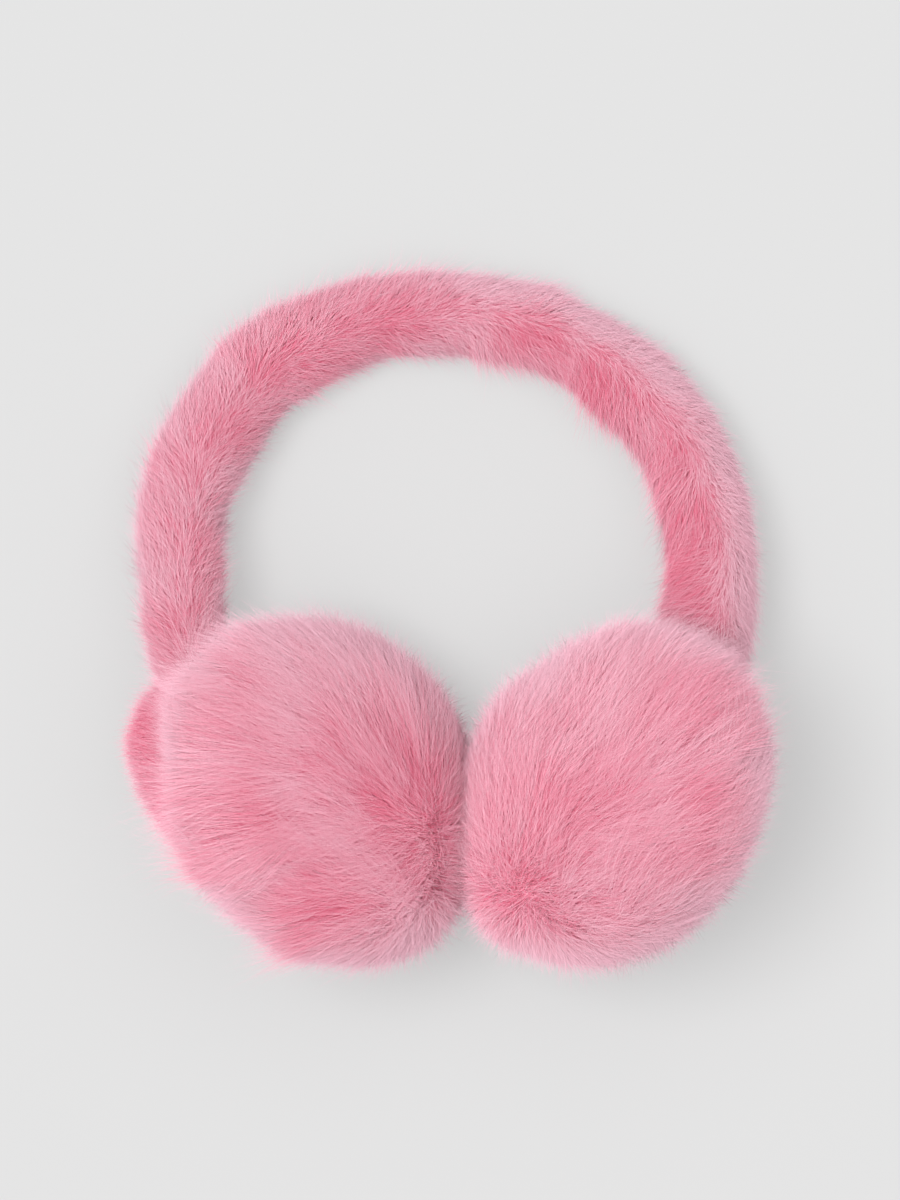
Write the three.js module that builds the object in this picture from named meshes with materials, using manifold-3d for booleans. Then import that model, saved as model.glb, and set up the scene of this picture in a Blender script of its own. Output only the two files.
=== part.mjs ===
// Faux fur earmuffs lying flat: a fur headband that arches between two round ear pads. Each pad is a
// deep fur puff, whose face turns up and toward its twin, on a shallower fur cover at its back.
// Millimetres, +Z up, +Y from the pads to the top of the arch, resting on z = 0.

import * as THREE from 'three';
import { mergeVertices } from 'three/addons/utils/BufferGeometryUtils.js';
import Module from 'manifold-3d';

const wasm = await Module();
wasm.setup();

// Headband
const archRadius = 87;      // centre of the head opening to the middle of the band
const bandCore = 8;         // radius of the band under its fur
const bandPile = 11.5;      // length of the band's fur
const legLift = 26;         // height of the band's middle above its resting height, at the pads

// Ear pads
const padRadius = 49;       // round face of the pad, without its fur
const padDepth = 25;        // half of the pad's thickness, without its fur
const padPile = 14;         // length of the pad's fur
const padSpread = 47;       // middle of each pad from the plane where the pads meet
const padDrop = 64;         // middle of the pads below the centre of the head opening
const padTilt = 46;         // degrees between a pad's face and the surface it lies on
const meetShift = 6;        // plane where the pads meet, to the right of the arch's centre

// Outer covers
const coverRadius = 26;     // round back of the cover, without its fur
const coverDepth = 12;      // half of the cover's thickness, without its fur
const coverPile = 10;       // length of the cover's fur
const coverSeat = 38;       // middle of the cover behind the middle of the pad

// Fit
const clearance = 0.3;      // gap between two pieces that touch
const facetAllowance = 0.3; // more gap where a round room is cut out with flat facets
const restSquash = 1.8;     // how far the soft underside is pressed flat where it rests
const roundness = 2.15;     // exponent of the pads' outline: 2 is an ellipse, more is fuller

// Locks of fur
const padCells = 10;        // locks along each edge of the six-sided net over a pad
const coverCells = 5;       // the same over a cover
const coverRoomCells = 8;   // facets along each edge of the room cut for a cover
const bandCellsRound = 3;   // locks along each side of the band's four-sided section
const bandCellsAlong = 50;  // locks from one end of the band to the other
const lockLean = 42;        // degrees that a lock leans along the nap
const lockScatter = 0.22;   // share of its length by which a lock may be longer or shorter
const trimShare = 0.88;     // share of the pile's length that the fur stands off the backing
const lockSway = 0.16;      // share of its length by which its tip may stray to the side
const pressReach = 0.5;     // a lock is pressed away where it roots nearer to something, as a share
const trimStep = 0.05;      // share of a lock that is cut off at a time until it is within the fur
const whorlSpread = 1.4;    // how soon the hair of a pad lies down outside its whorl
const bandSplay = 0.8;      // how far the band's hair turns out to its two sides, 0 is not at all
const seeds = { band: 11, pad: 23, cover: 37 };
const colours = { band: '#e2869e', pad: '#e594ab', cover: '#dd7d97' };

// Row by row along the band's middle line, clockwise from the left pad to the right one. turn is in
// degrees from +X round the centre of the head opening, reach a share of archRadius, and girth a
// share of bandCore.
const bandRows = [
  { turn: 214, reach: 0.950, girth: 0.92 },
  { turn: 198, reach: 0.945, girth: 0.94 },
  { turn: 180, reach: 0.947, girth: 0.96 },
  { turn: 165, reach: 0.985, girth: 1.04 },
  { turn: 148, reach: 1.004, girth: 1.14 },
  { turn: 130, reach: 1.022, girth: 1.16 },
  { turn: 110, reach: 1.012, girth: 1.06 },
  { turn: 90, reach: 0.996, girth: 1.00 },
  { turn: 70, reach: 1.000, girth: 0.98 },
  { turn: 48, reach: 1.000, girth: 1.04 },
  { turn: 28, reach: 0.990, girth: 1.04 },
  { turn: 10, reach: 0.964, girth: 1.10 },
  { turn: -8, reach: 0.952, girth: 1.12 },
  { turn: -22, reach: 0.944, girth: 1.00 },
  { turn: -34, reach: 0.950, girth: 0.92 },
];

// One row a pad. side is -1 left and 1 right, faceTurn the degrees by which its face turns from its
// twin toward the arch, whorlX and whorlY the point in plan that its hair grows away from, in shares
// of padRadius. outline is how far its fur reaches in plan every 30 degrees from +X, as a share of a
// plain pad's. coverAlong and coverUp slide its cover along its back, in shares of coverSeat, and
// coverSize is a share of the cover's sizes.
const padRows = [
  {
    name: 'left', side: -1, faceTurn: 28, whorlX: 0.66, whorlY: -0.20,
    outline: [1.11, 1.13, 1.05, 1.00, 1.00, 0.97, 0.92, 0.98, 0.95, 0.94, 1.00, 1.08],
    coverAlong: 0.62, coverUp: -0.12, coverSize: 0.96,
  },
  {
    name: 'right', side: 1, faceTurn: 28, whorlX: -0.60, whorlY: -0.58,
    outline: [0.93, 0.95, 0.97, 0.96, 0.95, 1.01, 1.08, 1.09, 1.00, 0.95, 0.95, 0.95],
    coverAlong: 0.37, coverUp: -0.37, coverSize: 0.84,
  },
];

const up = new THREE.Vector3(0, 0, 1);
const radians = THREE.MathUtils.degToRad;
const clamp = THREE.MathUtils.clamp;

// The same run of numbers from 0 to 1 each time, for the scatter of the locks.
function scatter(seed) {
  const factor = 1664525;
  const step = 1013904223;
  const limit = 2 ** 32;
  let state = seed;
  return () => {
    state = (state * factor + step) % limit;
    return state / limit;
  };
}

// A rounded body with its own axes: along and rise lie in its face, and face is square to it. Its
// outline in plan may swell and shrink by the shares of a table that runs round it.
class Puff {
  constructor(centre, axes, halves, outline = [1]) {
    this.centre = centre;
    this.axes = axes;
    this.halves = halves;
    this.outline = outline;
  }

  // The share of the outline's table in the direction of an offset from the centre.
  swell(offset) {
    const count = this.outline.length;
    const place = (Math.atan2(offset.y, offset.x) / (2 * Math.PI) + 1) * count;
    const i = Math.floor(place);
    const ease = (1 - Math.cos((place - i) * Math.PI)) / 2;
    return THREE.MathUtils.lerp(this.outline[i % count], this.outline[(i + 1) % count], ease);
  }

  // Share of the way from the centre to the surface at which a point lies.
  share(point) {
    const offset = point.clone().sub(this.centre);
    const swell = this.swell(offset);
    offset.x /= swell;
    offset.y /= swell;
    const sum = this.axes.reduce(
      (total, axis, i) => total + Math.abs(offset.dot(axis) / this.halves[i]) ** roundness, 0);
    return sum ** (1 / roundness);
  }

  // About how far outside the surface a point lies.
  distance(point) {
    return point.distanceTo(this.centre) * (1 - 1 / Math.max(this.share(point), Number.EPSILON));
  }

  // The point of the surface in the direction of a point of the net.
  place(at) {
    const offset = new THREE.Vector3();
    this.axes.forEach((axis, i) => offset.addScaledVector(axis, at.getComponent(i) * this.halves[i]));
    return this.centre.clone().addScaledVector(offset, 1 / this.share(this.centre.clone().add(offset)));
  }

  // How far the surface reaches below its centre.
  depthBelow() {
    const power = roundness / (roundness - 1);
    const sum = this.axes.reduce(
      (total, axis, i) => total + Math.abs(axis.z * this.halves[i]) ** power, 0);
    return sum ** (1 / power);
  }

  grown(by) {
    return new Puff(this.centre, this.axes, this.halves.map((half) => half + by), this.outline);
  }
}

// The points and the index of a box whose six sides share their edges.
function welded(box) {
  box.deleteAttribute('normal');
  box.deleteAttribute('uv');
  const { attributes, index } = mergeVertices(box);
  const points = [];
  for (let i = 0; i < attributes.position.count; i += 1) {
    points.push(new THREE.Vector3().fromBufferAttribute(attributes.position, i));
  }
  return { points, index: [...index.array] };
}

// A closed net of four-sided cells, bent from a box so that its cells come out even. cells gives the
// number along each axis, and place turns a point of the net into one of the surface.
function net(cells, place) {
  const { points, index } = welded(new THREE.BoxGeometry(2, 2, 2, ...cells));
  const quads = [];
  for (let i = 0; i < index.length; i += 6) {
    quads.push([index[i], index[i + 1], index[i + 4], index[i + 2]]);
  }
  return { points: points.map(place), quads };
}

function evened(value) {
  return Math.tan(value * Math.PI / 4);
}

function puffNet(puff, cells) {
  const place = (at) => puff.place(new THREE.Vector3(evened(at.x), evened(at.y), evened(at.z)));
  return net([cells, cells, cells], place);
}

function solidOf(points, triangles) {
  return new wasm.Manifold(new wasm.Mesh({
    numProp: 3,
    vertProperties: Float32Array.from(points.flatMap((point) => point.toArray())),
    triVerts: Uint32Array.from(triangles.flat()),
  }));
}

// The room that a puff needs with its fur, as a solid to cut its neighbours with.
function roomSolid(room, cells) {
  const { points, quads } = puffNet(room.grown(clearance + facetAllowance), cells);
  return solidOf(points, quads.flatMap(([a, b, c, d]) => [[a, b, c], [a, c, d]]));
}

// A fur body: every cell of the backing's net carries one lock, which is a part of the same skin.
// nap gives the direction in which the hair lies at a point, pile the hair's length there, and inRoom
// says whether a tip is within the fur's outer form, to which the hair is trimmed.
function furred({ points, quads }, nap, pile, inRoom, seed) {
  const random = scatter(seed);
  const all = [...points];
  const triangles = [];
  for (const quad of quads) {
    const corners = quad.map((i) => points[i]);
    const root = corners.reduce((sum, point) => sum.add(point), new THREE.Vector3()).divideScalar(4);
    const normal = new THREE.Vector3().crossVectors(
      corners[2].clone().sub(corners[0]), corners[3].clone().sub(corners[1])).normalize();
    const length = pile(root) * (1 + lockScatter * (2 * random() - 1));
    const flow = nap(root, normal);
    const across = new THREE.Vector3().crossVectors(normal, flow);
    const lean = radians(lockLean) * Math.min(1, flow.length());
    const tip = root.clone()
      .addScaledVector(normal, length * Math.cos(lean))
      .addScaledVector(flow.normalize(), length * Math.sin(lean))
      .addScaledVector(across, length * lockSway * (2 * random() - 1));
    while (!inRoom(tip)) tip.lerp(root, trimStep);
    all.push(tip);
    quad.forEach((corner, i) => triangles.push([corner, quad[(i + 1) % 4], all.length - 1]));
  }
  return solidOf(all, triangles);
}

// Hair is pressed away where its root comes near what it touches.
function pressed(length, distances) {
  const nearest = Math.min(...distances);
  return length * clamp(nearest / (pressReach * length), 0, 1);
}

// The hair of a pad grows away from its whorl, and stands up straight in it.
function napFrom(whorl) {
  return (root, normal) => {
    const away = normal.clone().multiplyScalar(whorl.dot(normal)).sub(whorl);
    const turned = Math.min(1, away.length() * whorlSpread);
    return away.normalize().multiplyScalar(turned);
  };
}

// The part of space on one side of a plane, as a block that is large enough to cut with.
function blockBeyond(point, direction) {
  const size = 8 * archRadius;
  const block = new THREE.BoxGeometry(size, size, size);
  const turned = new THREE.Quaternion().setFromUnitVectors(up, direction);
  block.applyQuaternion(turned);
  const middle = point.clone().addScaledVector(direction, size / 2);
  block.translate(middle.x, middle.y, middle.z);
  const { points, index } = welded(block);
  const triangles = [];
  for (let i = 0; i < index.length; i += 3) triangles.push(index.slice(i, i + 3));
  return solidOf(points, triangles);
}

const underground = blockBeyond(new THREE.Vector3(), up.clone().negate());

// One pad with its cover: the two bodies, the room that each needs with its fur, and the plane where
// the pad meets its twin.
function layPad(row) {
  const tilt = radians(padTilt);
  const turn = radians(row.faceTurn);
  const inward = new THREE.Vector3(-row.side * Math.cos(turn), Math.sin(turn), 0);
  const face = inward.clone().multiplyScalar(Math.sin(tilt)).addScaledVector(up, Math.cos(tilt));
  const rise = inward.clone().multiplyScalar(-Math.cos(tilt)).addScaledVector(up, Math.sin(tilt));
  const along = new THREE.Vector3(row.side * Math.sin(turn), Math.cos(turn), 0);
  const axes = [new THREE.Vector3().crossVectors(rise, face), rise, face];
  const coverOffset = face.clone().multiplyScalar(-coverSeat)
    .addScaledVector(along, row.coverAlong * coverSeat)
    .addScaledVector(rise, row.coverUp * coverSeat);
  const coverHalves = [coverRadius, coverRadius, coverDepth].map((half) => half * row.coverSize);
  const cover = new Puff(new THREE.Vector3(), axes, coverHalves);
  const lift = cover.depthBelow() - coverOffset.z - restSquash;
  const centre = new THREE.Vector3(meetShift + row.side * padSpread, -padDrop, lift);
  const puff = new Puff(centre, axes, [padRadius, padRadius, padDepth], row.outline);
  cover.centre = centre.clone().add(coverOffset);
  const plan = new THREE.Vector3(row.whorlX, row.whorlY, 0);
  const whorl = plan.clone().addScaledVector(up, Math.sqrt(1 - plan.lengthSq()));
  return {
    row,
    puff,
    cover,
    whorl,
    room: puff.grown(padPile * trimShare),
    coverRoom: cover.grown(coverPile * trimShare),
    twinPlane: new THREE.Vector3(meetShift + row.side * clearance / 2, 0, 0),
    toTwin: new THREE.Vector3(-row.side, 0, 0),
  };
}

// The middle line of the band rises evenly from where the arch rests to the pads.
function bandLine() {
  const restHeight = bandCore - restSquash;
  const flat = bandRows.map(({ turn, reach }) => new THREE.Vector3(
    Math.cos(radians(turn)), Math.sin(radians(turn)), 0).multiplyScalar(reach * archRadius));
  const top = Math.max(...flat.map((point) => point.y));
  const foot = Math.min(...flat.map((point) => point.y));
  for (const point of flat) point.z = restHeight + legLift * (top - point.y) / (top - foot);
  return new THREE.CatmullRomCurve3(flat);
}

function girthAt(share) {
  const place = share * (bandRows.length - 1);
  const i = Math.min(Math.floor(place), bandRows.length - 2);
  return bandCore * THREE.MathUtils.lerp(bandRows[i].girth, bandRows[i + 1].girth, place - i);
}

function bandSolid(pads) {
  const line = bandLine();
  const placed = net([bandCellsRound, bandCellsRound, bandCellsAlong], (at) => {
    const share = (at.z + 1) / 2;
    const tangent = line.getTangent(share);
    const outward = new THREE.Vector3().crossVectors(up, tangent).normalize();
    const above = new THREE.Vector3().crossVectors(tangent, outward);
    const out = Math.max(Math.abs(at.x), Math.abs(at.y));
    const section = new THREE.Vector2(evened(at.x), evened(at.y)).setLength(out * girthAt(share));
    return line.getPoint(share)
      .addScaledVector(outward, section.x)
      .addScaledVector(above, section.y);
  });
  const nap = (root, normal) => {
    const clockwise = new THREE.Vector3(root.y, -root.x, 0).normalize();
    const aside = new THREE.Vector3(normal.x, normal.y, 0);
    return clockwise.addScaledVector(aside, bandSplay).projectOnPlane(normal).normalize();
  };
  const pile = (root) => pressed(bandPile, [
    root.z,
    ...pads.flatMap((pad) => [pad.room.distance(root), pad.coverRoom.distance(root)]),
  ]);
  const whole = furred(placed, nap, pile, () => true, seeds.band).subtract(underground);
  return pads.reduce((solid, pad) => solid
    .subtract(roomSolid(pad.room, padCells))
    .subtract(roomSolid(pad.coverRoom, coverRoomCells)), whole);
}

function padSolid(pad) {
  const pile = (root) => pressed(padPile, [
    root.z,
    pad.twinPlane.clone().sub(root).dot(pad.toTwin),
  ]);
  const inRoom = (tip) => pad.room.share(tip) <= 1;
  const nap = napFrom(pad.whorl);
  const body = furred(puffNet(pad.puff, padCells), nap, pile, inRoom, seeds.pad + pad.row.side);
  return body.subtract(underground).subtract(blockBeyond(pad.twinPlane, pad.toTwin));
}

function coverSolid(pad) {
  const pile = (root) => pressed(coverPile, [root.z, pad.room.distance(root)]);
  const inRoom = (tip) => pad.coverRoom.share(tip) <= 1;
  const nap = napFrom(pad.puff.axes[2].clone().negate());
  const body = furred(puffNet(pad.cover, coverCells), nap, pile, inRoom, seeds.cover + pad.row.side);
  return body.subtract(underground).subtract(roomSolid(pad.room, padCells));
}

function meshOf(name, solid, colour) {
  const { vertProperties, triVerts } = solid.getMesh();
  const geometry = new THREE.BufferGeometry();
  geometry.setAttribute('position', new THREE.BufferAttribute(vertProperties, 3));
  geometry.setIndex(new THREE.BufferAttribute(triVerts, 1));
  geometry.computeVertexNormals();
  const mesh = new THREE.Mesh(
    geometry, new THREE.MeshStandardMaterial({ color: colour, roughness: 0.9, metalness: 0 }));
  mesh.name = name;
  return mesh;
}

const pads = padRows.map(layPad);
const earmuffs = new THREE.Group();
earmuffs.add(meshOf('headband', bandSolid(pads), colours.band));
for (const pad of pads) {
  earmuffs.add(meshOf(`${pad.row.name}_ear_pad`, padSolid(pad), colours.pad));
  earmuffs.add(meshOf(`${pad.row.name}_outer_cover`, coverSolid(pad), colours.cover));
}

// The origin is the middle of the underside.
const box = new THREE.Box3().setFromObject(earmuffs);
const middle = box.getCenter(new THREE.Vector3());
earmuffs.position.set(-middle.x, -middle.y, -box.min.z);

export default earmuffs;
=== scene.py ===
import math

import bpy
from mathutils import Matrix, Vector, noise


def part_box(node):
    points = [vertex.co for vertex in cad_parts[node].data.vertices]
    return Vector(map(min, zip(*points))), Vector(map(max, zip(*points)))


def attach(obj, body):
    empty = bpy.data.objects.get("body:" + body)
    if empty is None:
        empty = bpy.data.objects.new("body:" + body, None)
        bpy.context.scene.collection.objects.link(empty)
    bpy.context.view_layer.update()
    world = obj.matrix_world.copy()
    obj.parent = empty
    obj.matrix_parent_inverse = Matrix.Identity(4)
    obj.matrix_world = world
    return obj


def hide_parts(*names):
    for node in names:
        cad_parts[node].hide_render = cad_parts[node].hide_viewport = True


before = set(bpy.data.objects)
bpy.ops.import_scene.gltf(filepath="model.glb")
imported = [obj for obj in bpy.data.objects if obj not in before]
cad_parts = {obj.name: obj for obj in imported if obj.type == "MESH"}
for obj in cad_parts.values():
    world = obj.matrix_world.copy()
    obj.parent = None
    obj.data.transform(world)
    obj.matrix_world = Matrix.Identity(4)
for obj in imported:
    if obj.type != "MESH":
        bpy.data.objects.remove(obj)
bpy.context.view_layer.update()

mm = 0.001
up = Vector((0, 0, 1))

# Where things lie in the frame, in metres
archCentre = Vector((-0.97, 8.56, 0)) * mm  # middle of the head opening
meetX = (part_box("left_ear_pad")[1][0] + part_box("right_ear_pad")[0][0]) / 2  # plane where the pads meet
floorGap = 0.3 * mm  # the lowest fur is this far above the surface
puffRoundness = 2.15  # exponent of the pads' outline, 2 is an ellipse
buriedThick = 0.05  # share of the fur that grows where another piece covers the skin


def held(value, low=0.0, high=1.0):
    return min(high, max(low, value))


# Node trees

class Wire:  # a socket that can be used in plain maths
    def __init__(self, sheet, socket):
        self.sheet = sheet
        self.socket = socket

    def isVector(self):
        return self.socket.type in ("VECTOR", "RGBA")

    def maths(self, operation, first, second):
        isVector = [isinstance(side, Wire) and side.isVector() for side in (first, second)]
        if operation == "MULTIPLY" and any(isVector):
            vector, factor = (first, second) if isVector[0] else (second, first)
            return self.sheet.vector("SCALE", vector, Scale=factor)
        if any(isVector):
            return self.sheet.vector(operation, first, second)
        return self.sheet.number(operation, first, second)

    def __add__(self, other):
        return self.maths("ADD", self, other)

    def __radd__(self, other):
        return self.maths("ADD", other, self)

    def __sub__(self, other):
        return self.maths("SUBTRACT", self, other)

    def __rsub__(self, other):
        return self.maths("SUBTRACT", other, self)

    def __mul__(self, other):
        return self.maths("MULTIPLY", self, other)

    def __rmul__(self, other):
        return self.maths("MULTIPLY", other, self)

    def __truediv__(self, other):
        return self.maths("DIVIDE", self, other)

    def __rtruediv__(self, other):
        return self.maths("DIVIDE", other, self)


class Sheet:  # a node tree that is being drawn
    def __init__(self, tree):
        self.tree = tree

    def add(self, kind, settings=None, values=None):
        node = self.tree.nodes.new(kind)
        for name, value in (settings or {}).items():
            setattr(node, name, value)
        for name, value in (values or {}).items():
            self.fill(self.find(node.inputs, name), value)
        return node

    def find(self, sockets, name):
        if isinstance(name, int):
            return sockets[name]
        return next(socket for socket in sockets if socket.name == name and socket.enabled)

    def fill(self, socket, value):
        if isinstance(value, Wire):
            self.tree.links.new(value.socket, socket)
        else:
            socket.default_value = value

    def out(self, node, name=0):
        return Wire(self, self.find(node.outputs, name))

    def number(self, operation, *values):
        return self.out(self.add("ShaderNodeMath", {"operation": operation}, dict(enumerate(values))))

    def vector(self, operation, *values, **named):
        node = self.add("ShaderNodeVectorMath", {"operation": operation},
                        {**dict(enumerate(values)), **named})
        return self.out(node, "Value" if operation in ("DOT_PRODUCT", "LENGTH") else "Vector")

    def clamp(self, value, low=0.0, high=1.0):
        node = self.add("ShaderNodeClamp", None, {"Value": value, "Min": low, "Max": high})
        return self.out(node, "Result")

    def parts(self, vector):
        node = self.add("ShaderNodeSeparateXYZ", None, {"Vector": vector})
        return [self.out(node, i) for i in range(3)]

    def whole(self, *values):
        return self.out(self.add("ShaderNodeCombineXYZ", None, dict(enumerate(values))))

    def random(self, low, high, seed, kind="FLOAT"):
        node = self.add("FunctionNodeRandomValue", {"data_type": kind},
                        {"Min": low, "Max": high, "Seed": seed})
        return self.out(node, "Value")

    def read(self, name, kind="FLOAT"):
        node = self.add("GeometryNodeInputNamedAttribute", {"data_type": kind}, {"Name": name})
        return self.out(node, "Attribute")

    def store(self, geometry, name, value, kind="FLOAT", domain="POINT"):
        node = self.add("GeometryNodeStoreNamedAttribute", {"data_type": kind, "domain": domain},
                        {"Geometry": geometry, "Name": name, "Value": value})
        return self.out(node, "Geometry")


# The tree's inputs. A piece's settings have the same names in camelCase
furInputs = {
    "Skin": "Geometry", "Keep skin": "Bool", "Strands a square metre": "Float", "Strand width": "Float",
    "Pile factor": "Float", "Length scatter": "Float", "Lift": "Float", "Tuft size": "Float",
    "Tuft pull": "Float", "Wisp size": "Float", "Wisp pull": "Float", "Stray": "Float", "Droop": "Float",
    "Twist": "Float", "Tone shift": "Float", "Tone scatter": "Float", "Patch size": "Float",
    "Patches": "Float", "Softness": "Float", "Evenness": "Float", "Meeting plane": "Float",
    "Meeting side": "Float", "Squeeze": "Float", "Seed": "Int", "Fur": "Material",
}
# What a skin's points hold, and what the tree notes on each root for its own use
skinFields = {"nap": "FLOAT_VECTOR", "pile": "FLOAT", "thick": "FLOAT", "tone": "FLOAT"}
rootFields = ("root", "outward", "chance", "patch", "turn", "stray", "pull")
# How every strand is built: the spread of the values that chance picks from, then its curve and its light
strandForm = {
    "widths": (1.3, 0.7), "strays": (0.85, 1.15), "floorGaps": (1.0, 2.0),
    "settling": 0.55,  # share of its rise that a strand loses at the tip where it lies flat
    "earlyFlow": 0.35,  # share of the nap that it takes at the root
    "lightSlope": 0.8, "lightStart": 1.1,  # how the evened light fades on fur that faces down
    "tones": (0.03, 0.97), "heights": (0.06, 0.98),  # part of the colour chart that strands use
}


# Grows fur on a skin whose points hold nap, the way that the hair lies, pile, the hair's length, thick,
# the share of the hair that grows there, and tone, how pale it is.
def furTree():
    tree = bpy.data.node_groups.new("furStrands", "GeometryNodeTree")
    for name, kind in furInputs.items():
        tree.interface.new_socket(name=name, in_out="INPUT", socket_type=f"NodeSocket{kind}")
    tree.interface.new_socket(name="Piece", in_out="OUTPUT", socket_type="NodeSocketGeometry")
    sheet = Sheet(tree)
    given = sheet.add("NodeGroupInput")
    value = {name: sheet.out(given, name) for name in furInputs}
    seed = value["Seed"]
    spot = sheet.out(sheet.add("GeometryNodeInputPosition"))

    # one strand: a kite of two triangles, its x across it and its y from root to tip
    blade = sheet.add("GeometryNodeMeshGrid", None,
                      {"Size X": 1.0, "Size Y": 1.0, "Vertices X": 2, "Vertices Y": 3})
    across, height, _ = sheet.parts(spot)
    taper = 1.0 - sheet.number("ABSOLUTE", height) * 2.0
    height = height + 0.5
    shaped = sheet.out(sheet.add("GeometryNodeSetPosition", None, {
        "Geometry": sheet.out(blade, "Mesh"), "Position": sheet.whole(across * taper, height, 0.0)}))
    merge = sheet.add("GeometryNodeMergeByDistance", None, {"Geometry": shaped, "Distance": 0.001})
    strand = sheet.out(merge)

    def upwards(outward):  # turns blades and shading up, which evens out the light
        slope = sheet.parts(outward)[2] * strandForm["lightSlope"]
        return sheet.whole(0.0, 0.0, value["Evenness"] * sheet.clamp(slope + strandForm["lightStart"]))

    def between(ends, factor):
        return ends[0] + (ends[1] - ends[0]) * factor

    # roots, each with what its strand needs to know
    spread = sheet.add("GeometryNodeDistributePointsOnFaces", None, {
        "Mesh": value["Skin"], "Seed": seed,
        "Density": value["Strands a square metre"] * sheet.read("thick")})
    outward = sheet.out(spread, "Normal")
    roots = sheet.out(spread, "Points")
    roots = sheet.store(roots, "root", spot, "FLOAT_VECTOR")
    roots = sheet.store(roots, "outward", outward, "FLOAT_VECTOR")
    roots = sheet.store(roots, "chance", sheet.random(0.0, 1.0, seed + 1))
    patch = sheet.add("ShaderNodeTexNoise", None,
                      {"Vector": spot, "Scale": 1.0 / value["Patch size"], "Detail": 1.0})
    roots = sheet.store(roots, "patch", sheet.out(patch))
    roots = sheet.store(roots, "turn", sheet.random(-1.0, 1.0, seed + 2))
    stray = sheet.random((-1.0, -1.0, -1.0), (1.0, 1.0, 1.0), seed + 3, "FLOAT_VECTOR")
    roots = sheet.store(roots, "stray", stray, "FLOAT_VECTOR")

    # the hair of a tuft leans to its middle, and the finer wisps in it do too
    def towards(size, salt):
        cell = sheet.add("ShaderNodeTexVoronoi", {"voronoi_dimensions": "4D"},
                         {"Vector": spot, "W": salt, "Scale": 1.0 / size, "Randomness": 1.0})
        pull = sheet.out(cell, "Position") - spot
        return pull - outward * sheet.vector("DOT_PRODUCT", pull, outward)

    pull = (towards(value["Tuft size"], 0.0) * value["Tuft pull"]
            + towards(value["Wisp size"], 3.7) * value["Wisp pull"])
    roots = sheet.store(roots, "pull", pull, "FLOAT_VECTOR")

    planted = sheet.add("GeometryNodeInstanceOnPoints", None, {"Points": roots, "Instance": strand})
    grown = sheet.out(sheet.add("GeometryNodeRealizeInstances", None, {"Geometry": sheet.out(planted)}))

    # each strand rises from its root and bends over into the nap
    root = sheet.read("root", "FLOAT_VECTOR")
    outward = sheet.read("outward", "FLOAT_VECTOR")
    chance = sheet.read("chance")
    across, height, _ = sheet.parts(spot - root)
    strayed = sheet.read("stray", "FLOAT_VECTOR") * (value["Stray"] * between(strandForm["strays"], chance))
    nap = sheet.read("nap", "FLOAT_VECTOR") + strayed
    nap = nap - outward * sheet.vector("DOT_PRODUCT", strayed, outward)
    lean = sheet.clamp(sheet.vector("LENGTH", nap))
    scatter = 1.0 + value["Length scatter"] * (chance - 0.5) * 2.0
    length = sheet.read("pile") * value["Pile factor"] * scatter
    settling, early = strandForm["settling"], strandForm["earlyFlow"]
    rise = value["Lift"] * height * (1.0 - settling * lean * height)
    flow = height * (early + (1 - early) * height)
    bend = height * height
    tuft = sheet.read("pull", "FLOAT_VECTOR") * bend
    spine = outward * (rise * length) + nap * (flow * length) + tuft
    spine = spine - sheet.whole(0.0, 0.0, value["Droop"] * bend * length)
    rising = value["Lift"] * (1.0 - 2 * settling * lean * height)
    along = outward * rising + nap * (early + 2 * (1 - early) * height)  # the spine's direction
    facing = outward + upwards(outward)
    flat = sheet.vector("NORMALIZE", sheet.vector("CROSS_PRODUCT", along, facing))
    edge = sheet.vector("NORMALIZE", sheet.vector("CROSS_PRODUCT", flat, along))
    angle = sheet.read("turn") * value["Twist"]
    width = value["Strand width"] * between(strandForm["widths"], chance)
    blade = (flat * sheet.number("COSINE", angle) + edge * sheet.number("SINE", angle)) * (across * width)
    x, y, z = sheet.parts(root + spine + blade)

    # it is held back by the twin pad and by the surface below
    side = value["Meeting side"]
    inside = (x - value["Meeting plane"]) * side
    x = x + side * sheet.number("MAXIMUM", 0.0, 0.0 - value["Squeeze"] * chance - inside)
    z = sheet.number("MAXIMUM", z, floorGap * between(strandForm["floorGaps"], chance))
    grown = sheet.out(sheet.add("GeometryNodeSetPosition", None,
                                {"Geometry": grown, "Position": sheet.whole(x, y, z)}))

    # u is the strand's tone and v its height
    tone = (sheet.read("tone") + value["Tone shift"] + value["Tone scatter"] * (chance - 0.5)
            + value["Patches"] * (sheet.read("patch") - 0.5))
    tone = sheet.clamp(tone, *strandForm["tones"])
    chart = sheet.whole(tone + across * 0.01, between(strandForm["heights"], height), 0.0)
    grown = sheet.store(grown, "OFBake", chart, "FLOAT2", "CORNER")
    joined = sheet.add("GeometryNodeJoinGeometry")
    below = sheet.out(sheet.add("GeometryNodeSwitch", {"input_type": "GEOMETRY"},
                                {"Switch": value["Keep skin"], "True": value["Skin"]}))
    for geometry in (grown, below):
        tree.links.new(geometry.socket, joined.inputs[0])
    own = sheet.out(sheet.add("GeometryNodeInputNormal"))
    shading = own * (1.0 - value["Softness"]) + outward * value["Softness"]
    shading = sheet.vector("NORMALIZE", shading + upwards(outward))
    smooth = sheet.out(sheet.add("GeometryNodeSetShadeSmooth", None, {"Geometry": sheet.out(joined)}))
    soft = sheet.out(sheet.add("GeometryNodeSetMeshNormal", {"mode": "FREE", "domain": "POINT"},
                               {"Mesh": smooth, "Custom Normal": shading}))
    finished = sheet.add("GeometryNodeSetMaterial", None, {"Geometry": soft, "Material": value["Fur"]})
    sheet.add("NodeGroupOutput", None, {"Piece": sheet.out(finished)})
    return tree


furStrands = furTree()
print("fur tree ready")


# Materials

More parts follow.
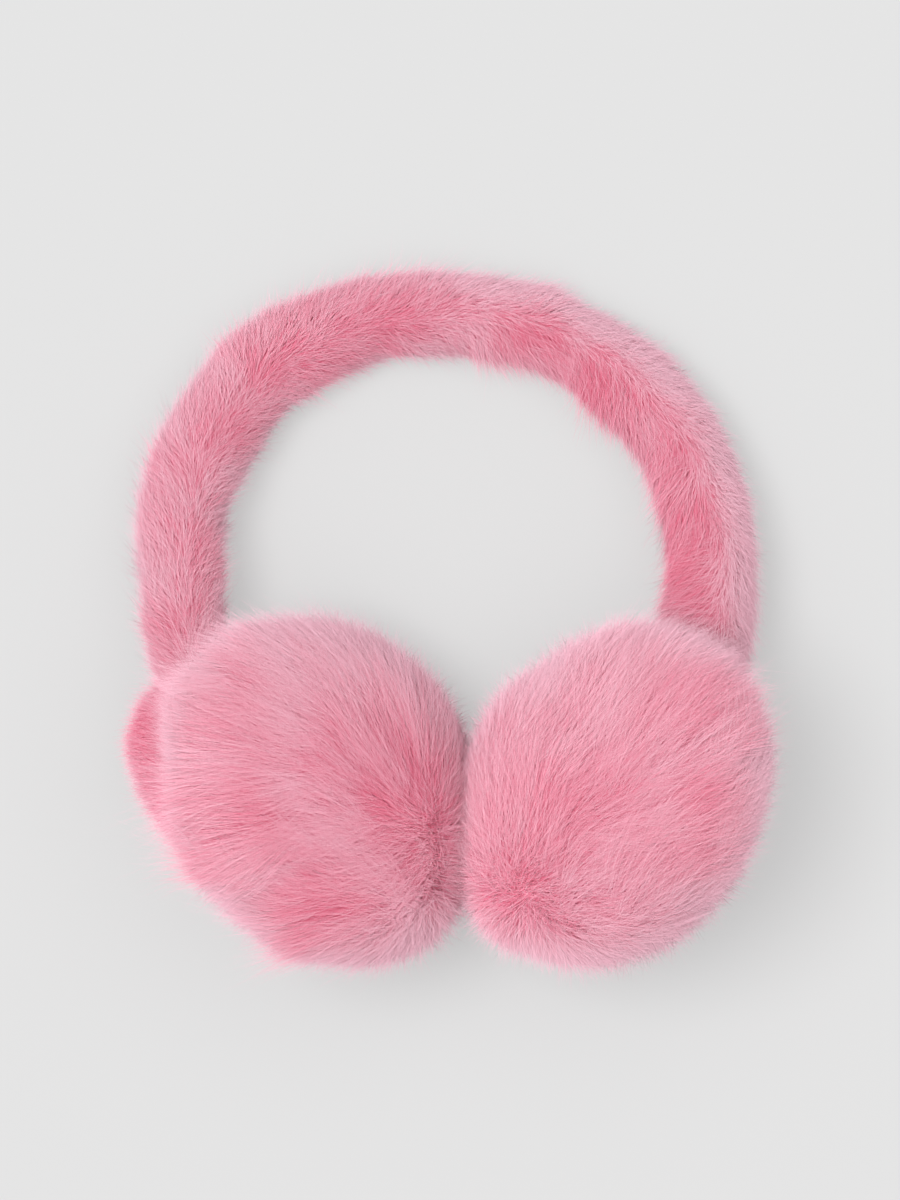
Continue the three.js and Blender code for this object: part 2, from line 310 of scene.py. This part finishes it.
def colourOf(red, green, blue):  # from the 0 to 255 of a screen colour
    return [((part / 255 + 0.055) / 1.055) ** 2.4 for part in (red, green, blue)] + [1.0]


furLook = {
    "rootDeep": colourOf(222, 92, 124), "rootPale": colourOf(234, 180, 196),
    "middleDeep": colourOf(229, 130, 156), "middlePale": colourOf(242, 219, 228),
    "tipDeep": colourOf(237, 183, 201), "tipPale": colourOf(251, 248, 250),
    "middleFrom": 0.4, "tipFrom": 0.35, "tipSlope": 1.7,  # heights on the strand
    "roughness": 0.72, "specular": 0.2, "sheen": 0.25, "sheenRoughness": 0.4,
}


# Fur is deeper in colour at its roots and in its deep strands, and pale at its tips.
def furMaterial(name, look):
    material = bpy.data.materials.new(name)
    material.use_nodes = True
    sheet = Sheet(material.node_tree)
    shader = material.node_tree.nodes["Principled BSDF"]
    place = sheet.add("ShaderNodeUVMap", {"uv_map": "OFBake"})
    tone, height, _ = sheet.parts(sheet.out(place))

    def blend(low, high, factor):
        mix = sheet.add("ShaderNodeMix", {"data_type": "RGBA"}, {"Factor": factor, "A": low, "B": high})
        return sheet.out(mix, "Result")

    lower = sheet.clamp(height * (1 / look["middleFrom"]))
    upper = sheet.clamp((height - look["tipFrom"]) * look["tipSlope"])
    deep = blend(blend(look["rootDeep"], look["middleDeep"], lower), look["tipDeep"], upper)
    pale = blend(blend(look["rootPale"], look["middlePale"], lower), look["tipPale"], upper)
    sheet.fill(shader.inputs["Base Color"], blend(deep, pale, tone) * look["shade"])
    shader.inputs["Roughness"].default_value = look["roughness"]
    shader.inputs["Sheen Weight"].default_value = look["sheen"]
    shader.inputs["Sheen Roughness"].default_value = look["sheenRoughness"]
    shader.inputs["Specular IOR Level"].default_value = look["specular"]
    return material


furPinks = {
    "band_fur": furMaterial("bandFur", {**furLook, "shade": 0.93}),
    "pad_fur": furMaterial("padFur", {**furLook, "shade": 0.98}),
    "cover_fur": furMaterial("coverFur", {**furLook, "shade": 0.97}),
}
print("materials ready")


# Skins: the plain forms that the fur grows on

def curve(before, here, there, after, t):  # the smooth way from here to there
    return 0.5 * (2 * here + (there - before) * t + (2 * before - 5 * here + 4 * there - after) * t * t
                  + (3 * here - before - 3 * there + after) * t ** 3)


class Puff:  # a rounded body, whose axes are two in its face and one square to it
    def __init__(self, centre, axes, halves):
        self.centre = centre
        self.axes = axes
        self.halves = halves

    def share(self, point):  # 1 on the surface, less inside
        offset = point - self.centre
        return sum(abs(offset.dot(axis) / half) ** puffRoundness
                   for axis, half in zip(self.axes, self.halves)) ** (1 / puffRoundness)

    def outside(self, point):  # about how far the point is from the surface
        return (point - self.centre).length * (1 - 1 / max(self.share(point), 0.01))

    def place(self, at):
        offset = Vector()
        for axis, half, part in zip(self.axes, self.halves, at):
            offset += axis * (half * math.tan(part * math.pi / 4))
        return self.centre + offset / self.share(self.centre + offset)

    def grown(self, by):
        return Puff(self.centre, self.axes, [half + by for half in self.halves])


# A closed net of square cells over a box, which place bends into the form.
def netOver(cells, place):
    index = {}
    points = []
    faces = []

    def corner(*at):
        if at not in index:
            index[at] = len(points)
            points.append(place([2 * part / count - 1 for part, count in zip(at, cells)]))
        return index[at]

    for axis in range(3):
        first, second = (axis + 1) % 3, (axis + 2) % 3
        for end in (0, cells[axis]):
            for i in range(cells[first]):
                for j in range(cells[second]):
                    face = []
                    for di, dj in ((0, 0), (1, 0), (1, 1), (0, 1)):
                        at = [0, 0, 0]
                        at[axis], at[first], at[second] = end, i + di, j + dj
                        face.append(corner(*at))
                    faces.append(face if end else face[::-1])
    return points, faces


def skinObject(name, points, faces, fields):
    mesh = bpy.data.meshes.new(name)
    mesh.from_pydata([(x, y, max(z, floorGap)) for x, y, z in points], [], faces)
    mesh.update()
    rows = [fields(vertex.co, vertex.normal) for vertex in mesh.vertices]
    for field, kind in skinFields.items():
        layer = mesh.attributes.new(field, kind, "POINT")
        values = [row[field] for row in rows]
        if kind == "FLOAT_VECTOR":
            layer.data.foreach_set("vector", [part for value in values for part in value])
        else:
            layer.data.foreach_set("value", values)
    layer = mesh.uv_layers.new(name="OFBake")
    for polygon in mesh.polygons:
        for corner, (across, height) in zip(polygon.loop_indices, ((0, 0), (1, 0), (1, 1), (0, 1))):
            layer.data[corner].uv = (0.2 + 0.2 * across, 0.01 + 0.03 * height)
    return bpy.data.objects.new(name, mesh)


# What all the fur has in common, then what differs in the long fine hairs that stand out of it. Pressed is
# the height under which fur is shortened, as a share of the pile, and the least share of it that is left
plainFur = {
    "keepSkin": True, "strandWidth": 0.135 * mm, "pileFactor": 1.0, "lengthScatter": 0.4, "lift": 0.9,
    "tuftSize": 9 * mm, "tuftPull": 0.12, "wispSize": 2.2 * mm, "wispPull": 0.08,
    "stray": 0.42, "droop": 0.05, "twist": 0.35,
    "toneShift": 0.0, "toneScatter": 0.9, "patchSize": 3 * mm, "patches": 0.9,
    "softness": 0.9, "evenness": 0.75, "meetingSide": 0.0, "squeeze": 3.5 * mm,
    "pressed": 0.6, "pressedLeast": 0.15,
}
guardHair = {
    "keepSkin": False, "strands": 48000, "strandWidth": 0.09 * mm, "pileFactor": 1.3, "lengthScatter": 0.3,
    "stray": 0.5, "toneShift": 0.42, "toneScatter": 0.5,
}


# Grows a skin's fur and makes the result a plain mesh.
def growFur(skin, name, settings):
    area = sum(polygon.area for polygon in skin.data.polygons)
    values = {
        "Strands a square metre": settings["strands"] / area, "Meeting plane": meetX,
        "Fur": furPinks[settings["slot"]],
    }
    for inputName in furInputs:
        first, *rest = inputName.split()
        setting = first.lower() + "".join(word.title() for word in rest)
        if setting in settings:
            values[inputName] = settings[setting]
    grow = skin.modifiers.new("fur", "NODES")
    grow.node_group = furStrands
    for item in furStrands.interface.items_tree:
        if item.in_out == "INPUT" and item.name in values:
            grow[item.identifier] = values[item.name]
    skin.update_tag()
    grown = skin.evaluated_get(bpy.context.evaluated_depsgraph_get())
    mesh = bpy.data.meshes.new_from_object(grown)
    skin.modifiers.remove(grow)
    for field in (*skinFields, *rootFields):
        if field in mesh.attributes:
            mesh.attributes.remove(mesh.attributes[field])
    piece = bpy.data.objects.new(name, mesh)
    bpy.context.collection.objects.link(piece)
    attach(piece, "root")
    mesh.calc_loop_triangles()
    print(name, len(mesh.loop_triangles), "triangles")
    return piece


# Grows a skin's fur in the place of a CAD node, with long fine hairs over it, and drops the skin.
def coat(skin, node, settings, guarded=True):
    bpy.context.collection.objects.link(skin)
    piece = growFur(skin, f"{node}_fur", settings)
    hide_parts(node)
    if guarded:
        hairs = growFur(skin, f"{node}_guard_hair", {**settings, **guardHair, "seed": settings["seed"] + 7})
    bpy.data.objects.remove(skin)


# Hair lies away from the line from start to end. It stands up there, and lies flatter out to spread.
def flowFrom(start, end, point, normal, spread, least=0.45):
    line = end - start
    share = (point - start).dot(line) / line.length_squared
    away = point - (start + line * held(share))
    reach = away.length
    away -= normal * away.dot(normal)
    return away.normalized() * min(1.0, least + (1 - least) * reach / spread)


def blotch(point, size, salt=0):  # slow variation from -1 to 1
    return noise.noise(point / size + Vector((salt, 0, 0)))


def swirlOf(point, normal, flow, swirls):  # turns the flow aside in blotches, a row of swirls for each size
    return normal.cross(flow) * sum(amount * blotch(point, size, salt) for amount, size, salt in swirls)


def pressedShare(point, fur):  # fur near the surface is shorter
    return held(point.z / (fur["pressed"] * fur["pile"]), fur["pressedLeast"])


# Ear pads

padFur = {
    **plainFur, "slot": "pad_fur", "radius": 48 * mm, "depth": 25.5 * mm, "tilt": math.radians(46),
    "pile": 12.5 * mm, "strands": 93000, "lift": 0.95, "evenness": 0.95, "cells": 18,
    "whorlReach": 24 * mm, "backFlow": 0.8, "rimFlow": 0.65, "swirls": [(0.9, 24 * mm, 5), (0.9, 8 * mm, 9)],
    "backSwirl": 0.3, "backThick": 0.85,  # how the fur differs behind
    "coverGap": 8 * mm, "coverThick": 0.1,  # thinner this near to the cover, down to this share
    "nearShort": 0.6, "nearShortReach": 14 * mm,  # shorter this near to the other pad
    "pileBlotch": 0.2,
    # toneSide pales the fur towards each place's paleTo, partly painted light and shade
    "tone": 0.2, "toneSide": 0.2, "toneRim": 0.75, "toneBack": 0.3, "toneBlotch": 0.25,
    # the next two deepen the colour near the other pad, out to a reach: painted shade in the crevice between
    # the pads
    "paintedShadeNear": 0.5, "paintedShadeNearReach": 30 * mm,
}
coverFur = {
    **plainFur, "slot": "cover_fur", "radius": 27 * mm, "depth": 13 * mm, "pile": 9.5 * mm,
    "strands": 36000, "tuftSize": 8 * mm, "cells": 10, "lie": 0.7, "swirls": [(0.6, 14 * mm, 5)],
    "tone": 0.15, "toneBlotch": 0.3, "toneRim": 0.5,
}
# Outline has the pad's reach in plan every 30 degrees from +X, as a share of the plain body's. A row of tints
# is a place in plan and a reach, in millimetres, and how much paler the fur is there. Whorl has the ends of
# the line that the hair lies away from
padPlaces = {
    "left": {"side": -1.0, "faceTurn": 28, "centre": Vector((-41.97, -55.44, 47.85)) * mm,
             "cover": Vector((-72.6, -45.2, 18.6)) * mm, "coverSize": 0.92,
             "whorl": (Vector((-3, -65, 0)) * mm, Vector((-1, -84, 0)) * mm),
             "sweep": Vector((-0.3, 0.2, 0.0)), "paleTo": Vector((-0.8, 0.4, 0.0)), "seed": 11,
             "tints": [(-12, -94, 8, 0.5), (-9, -57, 8, -0.25)],
             "outline": [1.12, 1.13, 1.03, 0.98, 0.97, 0.92, 0.82, 0.90, 0.87, 0.90, 1.02, 1.10]},
    "right": {"side": 1.0, "faceTurn": 28, "centre": Vector((52.03, -55.44, 52.19)) * mm,
              "cover": Vector((73.6, -51.3, 16.0)) * mm, "coverSize": 0.84,
              "whorl": (Vector((12, -83, 0)) * mm, Vector((22, -88, 0)) * mm),
              "sweep": Vector((0.1, 0.1, 0.0)), "paleTo": Vector((0.6, -0.4, 0.0)), "seed": 23,
              "tints": [(85, -41, 6, -0.3), (86, -73, 6, -0.3), (68, -61, 6, -0.3), (69, -2, 9, 0.2)],
              "outline": [0.90, 0.92, 0.95, 0.92, 0.91, 1.01, 1.08, 1.10, 0.99, 0.92, 0.93, 0.92]},
}


def padBodies(place):
    turn = math.radians(place["faceTurn"])
    tilt = padFur["tilt"]
    inward = Vector((-place["side"] * math.cos(turn), math.sin(turn), 0))
    face = inward * math.sin(tilt) + up * math.cos(tilt)
    rise = up * math.sin(tilt) - inward * math.cos(tilt)
    axes = [rise.cross(face), rise, face]
    puff = Puff(place["centre"], axes, [padFur["radius"], padFur["radius"], padFur["depth"]])
    size = place["coverSize"]
    cover = Puff(place["cover"], axes, [coverFur["radius"] * size, coverFur["radius"] * size,
                                        coverFur["depth"] * size])
    return puff, cover


def ringShare(values, angle):  # a smooth closed curve through the values round a circle
    place = angle / (2 * math.pi) * len(values)
    i = math.floor(place)
    before, here, there, after = (values[(i + k) % len(values)] for k in (-1, 0, 1, 2))
    return curve(before, here, there, after, place - i)


def makePad(side, place):
    puff, cover = padBodies(place)

    def shaped(at):
        point = puff.place(at)
        offset = point - puff.centre
        share = ringShare(place["outline"], math.atan2(offset.y, offset.x))
        return puff.centre + Vector((offset.x * share, offset.y * share, offset.z))

    points, faces = netOver([padFur["cells"]] * 3, shaped)
    above = [point for point in points if point.z > puff.centre.z]
    whorl = [min(above, key=lambda point: (point - end).xy.length) for end in place["whorl"]]

    def fields(point, normal):
        rim = held(1.25 - 1.6 * normal.z) * held(1.2 + 1.6 * normal.z)  # 1 round the pad's sides
        behind = held((-0.05 - normal.z) / 0.35)  # 1 where the pad faces down
        fromMeeting = abs(point.x - meetX)
        flow = (flowFrom(*whorl, point, normal, padFur["whorlReach"]) + place["sweep"]) * (1 - behind)
        flow += (point - cover.centre).normalized() * padFur["backFlow"] * behind
        flow -= normal * flow.dot(normal)
        flow *= 1 - (1 - padFur["rimFlow"]) * rim
        swirl = swirlOf(point, normal, flow, padFur["swirls"]) * (1 - (1 - padFur["backSwirl"]) * behind)
        short = (1 - padFur["nearShort"]) * max(0.0, 1 - fromMeeting / padFur["nearShortReach"])
        # paler towards paleTo and deeper away from it: partly the fur's paler outer sides, partly painted
        # light on the left pad's side towards the lamp and painted shade towards the joint between the pads
        tone = (padFur["tone"] + padFur["toneSide"] * normal.dot(place["paleTo"]) + padFur["toneRim"] * rim
                + padFur["toneBack"] * behind + padFur["toneBlotch"] * blotch(point, 14 * mm))
        # painted shade: the fur is deeper in colour near the plane where the pads meet, where they shade each
        # other
        tone *= 1 - padFur["paintedShadeNear"] * max(0.0, 1 - fromMeeting / padFur["paintedShadeNearReach"])
        for x, y, reach, amount in place["tints"]:
            tone += amount * math.exp(-((point / mm - Vector((x, y, 0))).xy.length / reach) ** 2)
        return {
            "nap": flow + swirl,
            "pile": padFur["pile"] * pressedShare(point, padFur) * (1 - short)
                    * (1 + padFur["pileBlotch"] * blotch(point, 12 * mm, 2)),
            "thick": held(cover.outside(point) / padFur["coverGap"], padFur["coverThick"])
                     * (1 - (1 - padFur["backThick"]) * behind),
            "tone": tone,
        }

    skin = skinObject(f"{side}PadSkin", points, faces, fields)
    coat(skin, f"{side}_ear_pad", {**padFur, "meetingSide": place["side"], "seed": place["seed"]})


def makeCover(side, place):
    puff, cover = padBodies(place)
    outer = Vector((place["side"], 0, -0.6))  # the way that the hair lies, out and down

    def fields(point, normal):
        flow = outer - normal * outer.dot(normal)
        buried = puff.outside(point) < 1 * mm
        return {
            "nap": (flow + swirlOf(point, normal, flow, coverFur["swirls"])) * coverFur["lie"],
            "pile": coverFur["pile"] * pressedShare(point, coverFur),
            "thick": buriedThick if buried else 1.0,
            "tone": coverFur["tone"] + coverFur["toneBlotch"] * blotch(point, 12 * mm)
                    + coverFur["toneRim"] * held(1.0 - 1.6 * normal.z),
        }

    skin = skinObject(f"{side}CoverSkin", *netOver([coverFur["cells"]] * 3, cover.place), fields)
    coat(skin, f"{side}_outer_cover", {**coverFur, "seed": place["seed"] + 50}, guarded=False)


for side, place in padPlaces.items():
    makePad(side, place)
    makeCover(side, place)
print("pads ready")


# Headband

bandFur = {
    **plainFur, "slot": "band_fur", "core": 8.0 * mm, "pile": 9.8 * mm, "strands": 93000, "lift": 0.8,
    "tuftSize": 8 * mm, "seed": 71, "pressedLeast": 0.2, "cells": [4, 4, 100],
    "archRadius": 87 * mm, "restHeight": 6.2 * mm, "legLift": 26 * mm, "buriedDepth": 4 * mm,
    "alongFlow": 0.7, "acrossFlow": 0.75, "swirls": [(0.6, 18 * mm, 5), (0.6, 8 * mm, 9)],
    "ragged": 0.2, "raggedInside": 0.25, "underThick": 0.6,
    "tone": -0.3, "toneSides": 0.35, "toneStrip": 0.9, "toneSeam": 0.5, "toneBlotch": 0.25,
    "stripTurn": 25,  # the pale strip on the outer side is palest here, in degrees round the opening
    "seamAt": -0.55, "seamWidth": 0.14, "seamTurn": 88, "seamSpan": 14,  # pale line along the arch's top
}
# Turn is in degrees round the opening, reach a share of archRadius, girth a share of the core, parting
# where the hair parts, from -1 at the inner edge to 1 at the outer one, and pale its tone
bandRows = [
    (214, 0.950, 0.92, -0.1, 0.55), (198, 0.945, 0.94, -0.2, 0.6), (180, 0.947, 0.96, -0.3, 0.6),
    (165, 0.985, 1.04, -0.4, 0.6), (148, 1.004, 1.14, -0.3, 0.55), (130, 1.022, 1.16, -0.1, 0.5),
    (110, 1.012, 1.06, -0.3, 0.45), (90, 0.996, 1.00, -0.1, 0.4), (70, 1.000, 0.98, 0.3, 0.35),
    (48, 1.000, 1.04, 0.5, 0.35), (28, 0.990, 1.04, 0.55, 0.3), (10, 0.964, 1.10, 0.5, 0.3),
    (-8, 0.952, 1.12, 0.4, 0.3), (-22, 0.944, 1.00, 0.3, 0.35), (-34, 0.950, 0.92, 0.3, 0.35),
]


def spline(values, share):  # a smooth curve through the values, 0 to 1
    place = held(share) * (len(values) - 1)
    i = min(int(place), len(values) - 2)
    last = len(values) - 1
    before, here, there, after = (values[held(i + k, 0, last)] for k in (-1, 0, 1, 2))
    return curve(before, here, there, after, place - i)


def tableAt(turn, column):  # a column of bandRows at a turn round the opening
    for (startTurn, *start), (endTurn, *end) in zip(bandRows, bandRows[1:]):
        if turn >= endTurn:
            t = min(1.0, (startTurn - turn) / (startTurn - endTurn))
            return start[column - 1] * (1 - t) + end[column - 1] * t
    return bandRows[-1][column]


def bandMiddles():
    flat = []
    for turn, reach, *_ in bandRows:
        angle = math.radians(turn)
        flat.append(Vector((math.cos(angle), math.sin(angle), 0)) * reach * bandFur["archRadius"])
    top = max(point.y for point in flat)
    foot = min(point.y for point in flat)
    rises = [bandFur["restHeight"] + bandFur["legLift"] * (top - point.y) / (top - foot) for point in flat]
    return [archCentre + point + up * rise for point, rise in zip(flat, rises)]


def makeBand():
    middles = bandMiddles()
    girths = [row[2] for row in bandRows]
    bodies = [body.grown(bandFur["buriedDepth"]) for place in padPlaces.values()
              for body in padBodies(place)]

    def place(at):
        share = (at[2] + 1) / 2
        middle = spline(middles, share)
        tangent = (spline(middles, share + 0.005) - spline(middles, share - 0.005)).normalized()
        outward = up.cross(tangent).normalized()
        above = tangent.cross(outward)
        out = max(abs(at[0]), abs(at[1]))
        section = Vector((math.tan(at[0] * math.pi / 4), math.tan(at[1] * math.pi / 4)))
        if out > 0:
            section = section.normalized() * out * spline(girths, share) * bandFur["core"]
        return middle + outward * section.x + above * section.y

    def fields(point, normal):
        around = (point - archCentre) * Vector((1, 1, 0))
        turn = math.degrees(math.atan2(around.y, around.x))
        turn += 360 if turn < -90 else 0
        reach, parting, pale = (tableAt(turn, column) for column in (1, 3, 4))
        aside = (around.length - reach * bandFur["archRadius"]) / bandFur["core"]  # -1 inner to 1 outer edge
        beyond = held(1.6 * (aside - parting), -1.0)
        clockwise = Vector((around.y, -around.x, 0)).normalized()
        nap = clockwise * bandFur["alongFlow"] + around.normalized() * bandFur["acrossFlow"] * beyond
        nap -= normal * nap.dot(normal)
        nap += swirlOf(point, normal, nap, bandFur["swirls"])
        buried = any(body.outside(point) < 0 for body in bodies)
        ragged = bandFur["ragged"] + bandFur["raggedInside"] * max(0.0, -aside)
        strip = held(2.2 * (aside - 0.15)) * held(1.4 * math.cos(math.radians(turn - bandFur["stripTurn"])))
        seam = (math.exp(-((aside - bandFur["seamAt"]) / bandFur["seamWidth"]) ** 2)
                * math.exp(-((turn - bandFur["seamTurn"]) / bandFur["seamSpan"]) ** 4))
        return {
            "nap": nap,
            "pile": bandFur["pile"] * pressedShare(point, bandFur) * (1 + ragged * blotch(point, 9 * mm)),
            "thick": buriedThick if buried else (1.0 if normal.z > -0.4 else bandFur["underThick"]),
            "tone": pale + bandFur["tone"] + bandFur["toneSides"] * held(1.1 - 1.6 * normal.z)
                    + bandFur["toneStrip"] * strip + bandFur["toneSeam"] * seam
                    + bandFur["toneBlotch"] * blotch(point, 14 * mm),
        }

    points, faces = netOver(bandFur["cells"], place)
    skin = skinObject("bandSkin", points, faces, fields)
    coat(skin, "headband", bandFur)


makeBand()
print("headband ready")


# Floor, light and camera

studio = {
    "frame": (900, 1200), "pixelsPerMm": 3.2, "openingPixel": (445, 590),  # the photo's frame and scale
    "cameraHeight": 4.0, "scaleHeight": 30 * mm,  # the height at which that scale holds
    "floorSize": 8, "floorColour": 0.215, "floorGlow": 0.42, "skyStrength": 0.52,
    "sunStrength": 2.35, "sunSpread": math.radians(30), "sunFrom": Vector((-0.36, 0.07, 1.0)),
    "topStrength": 1.5, "topSpread": math.radians(80), "topFrom": Vector((0.0, 0.0, 1.0)),
}


def layFloor():
    bpy.ops.mesh.primitive_plane_add(size=studio["floorSize"])
    floor = bpy.context.object
    floor.name = "studioFloor"
    material = bpy.data.materials.new("paleFloor")
    material.use_nodes = True
    shader = material.node_tree.nodes["Principled BSDF"]
    shader.inputs["Base Color"].default_value = (studio["floorColour"],) * 3 + (1.0,)
    shader.inputs["Roughness"].default_value = 0.9
    shader.inputs["Specular IOR Level"].default_value = 0.0
    shader.inputs["Emission Color"].default_value = (1.0, 1.0, 1.0, 1.0)
    shader.inputs["Emission Strength"].default_value = studio["floorGlow"]
    floor.data.materials.append(material)


def setLights():
    world = bpy.data.worlds.new("softSky")
    bpy.context.scene.world = world
    world.use_nodes = True
    world.node_tree.nodes["Background"].inputs["Strength"].default_value = studio["skyStrength"]
    world.node_tree.nodes["Background"].inputs["Color"].default_value = (1.0, 1.0, 1.0, 1.0)
    for name in ("sun", "top"):
        lamp = bpy.data.lights.new(f"{name}Light", "SUN")
        lamp.energy = studio[f"{name}Strength"]
        lamp.angle = studio[f"{name}Spread"]
        light = bpy.data.objects.new(f"{name}Light", lamp)
        light.location = studio[f"{name}From"]
        light.rotation_euler = (-studio[f"{name}From"]).to_track_quat("-Z", "Y").to_euler()
        bpy.context.collection.objects.link(light)


def setCamera():
    perMm = studio["pixelsPerMm"]
    width, height = studio["frame"]
    x, y = studio["openingPixel"]
    middle = archCentre + Vector((width / 2 - x, y - height / 2, 0)) * mm / perMm
    lens = bpy.data.cameras.new("camera")
    lens.sensor_fit = "VERTICAL"
    lens.sensor_height = 36
    lens.lens = lens.sensor_height * studio["cameraHeight"] / (height / perMm * mm)
    lens.clip_end = 20
    camera = bpy.data.objects.new("camera", lens)
    camera.location = middle + up * (studio["cameraHeight"] + studio["scaleHeight"])
    bpy.context.collection.objects.link(camera)
    scene = bpy.context.scene
    scene.camera = camera
    scene.view_settings.view_transform = "Standard"


layFloor()
setLights()
setCamera()
print("studio ready")
